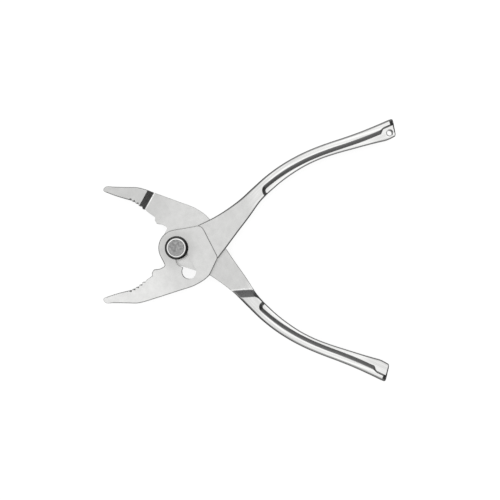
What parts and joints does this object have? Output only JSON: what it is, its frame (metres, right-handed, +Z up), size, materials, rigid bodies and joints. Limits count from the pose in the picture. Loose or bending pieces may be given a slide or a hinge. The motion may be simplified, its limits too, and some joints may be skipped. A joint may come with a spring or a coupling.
{
  "type": "slip joint pliers",
  "caption": "Bare steel slip joint pliers, lying open: toothed flat-nosed jaws, a wire cutter, a slotted seat joint, ribbed bow handles and a hanging hole.",
  "frame": {"origin": "on the pivot axis at the underside, in the outer face of the nut and bolt end", "axes": "+Z up along the pivot towards the bolt head, -X towards the jaws, +X towards the handles, +Y towards the slotted half's handle"},
  "size_m": [0.173, 0.1561, 0.015],
  "materials": {
    "forged_steel": "satin nickel plate, ground faces and buffed handles",
    "bolt_steel": "dark bevelled head with a bright rim",
    "washer_steel": "spring steel",
    "nut_steel": "turned steel"
  },
  "bodies": {
    "pinned_side": {"pinned_half": "forged_steel", "pivot_bolt": "bolt_steel", "pivot_nut": "nut_steel"},
    "washer": {"pivot_washer": "washer_steel"},
    "slotted_side": {"slotted_half": "forged_steel"}
  },
  "joints": [
    {"name": "pivot", "type": "hinge", "parent": "pinned_side", "child": "washer", "pos_m": [0, 0, 0.0076], "axis": [0, 0, 1], "range_deg": [-55.3, 45]},
    {"name": "slip", "type": "slide", "parent": "washer", "child": "slotted_side", "axis": [-0.454, 0.891, 0], "range_m": [0, 0.0158]}
  ]
}
